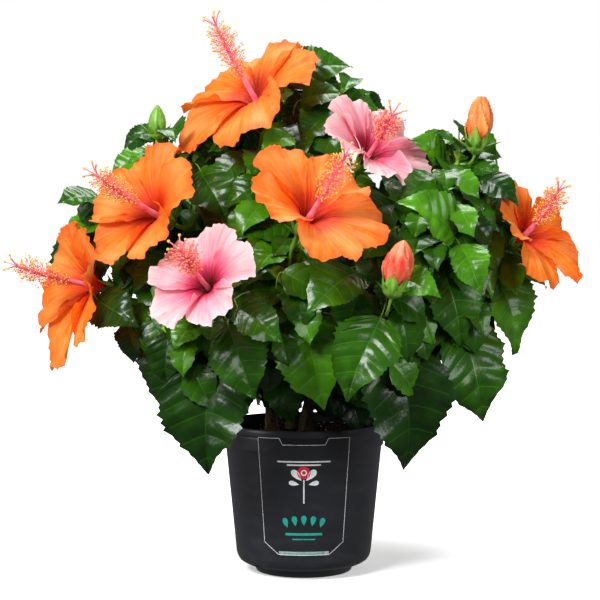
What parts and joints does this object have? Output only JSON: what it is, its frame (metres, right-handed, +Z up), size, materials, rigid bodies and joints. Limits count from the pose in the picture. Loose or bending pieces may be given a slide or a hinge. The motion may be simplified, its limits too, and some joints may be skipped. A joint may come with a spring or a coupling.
{
  "type": "potted hibiscus shrub",
  "caption": "Bushy hibiscus shrub in a round nursery pot: woody stems, glossy toothed leaves, large ruffled orange and pink blooms with long stamen columns, and closed buds.",
  "frame": {"origin": "centre of the pot's flat underside", "axes": "+Z up along the pot's axis; the panel on the pot's wall faces -Y and +X is to its right"},
  "size_m": [0.5874, 0.5389, 0.5981],
  "materials": {
    "plastic": "moulded charcoal plastic with a soft satin sheen",
    "mix": "dark crumbly potting mix with pale grains",
    "bark": "grey-brown bark with fine pores, greener towards the tips",
    "foliage": "glossy dark green leaf with a quilted surface and paler veins",
    "orange_petal": "thin orange petal with fine radial veins and a red throat",
    "pink_petal": "thin pink petal with a pale edge, fine veins and a crimson throat",
    "green_bud": "closed green bud with ribbed sepals",
    "red_bud": "furled coral petals in a green calyx"
  },
  "bodies": {
    "root": {"pot": "plastic", "potting_mix": "mix", "stem_left": "bark", "stem_right": "bark", "stem_back": "bark", "bough_low_left": "bark", "bough_front_left": "bark", "bough_front_centre": "bark", "bough_front_right": "bark", "bough_right": "bark", "bough_low_right": "bark", "bough_mid_right": "bark", "bough_upper_right": "bark", "bough_top": "bark", "bough_upper_left": "bark", "bough_left": "bark", "bough_centre": "bark", "bough_back_top": "bark", "bough_back_left": "bark", "bough_back_right": "bark", "bough_heart": "bark", "bough_inner": "bark", "bough_low_back_left": "bark", "bough_low_back_right": "bark", "bloom_top": "orange_petal", "bloom_upper_left": "orange_petal", "bloom_centre": "orange_petal", "bloom_left": "orange_petal", "bloom_right": "orange_petal", "bloom_back_top": "orange_petal", "bloom_low_back": "orange_petal", "bloom_low_left": "pink_petal", "bloom_upper_right": "pink_petal", "bloom_back_right": "pink_petal", "bloom_back_left": "pink_petal", "bud_upper_left": "green_bud", "bud_top": "green_bud", "bud_opening": "red_bud", "bud_red": "red_bud", "foliage_low_left": "foliage", "foliage_front_left": "foliage", "foliage_front_centre": "foliage", "foliage_front_right": "foliage", "foliage_right": "foliage", "foliage_low_right": "foliage", "foliage_mid_right": "foliage", "foliage_upper_right": "foliage", "foliage_top": "foliage", "foliage_upper_left": "foliage", "foliage_left": "foliage", "foliage_centre": "foliage", "foliage_back_top": "foliage", "foliage_back_left": "foliage", "foliage_back_right": "foliage", "foliage_heart": "foliage", "foliage_inner": "foliage", "foliage_low_back_left": "foliage", "foliage_low_back_right": "foliage"}
  },
  "joints": []
}
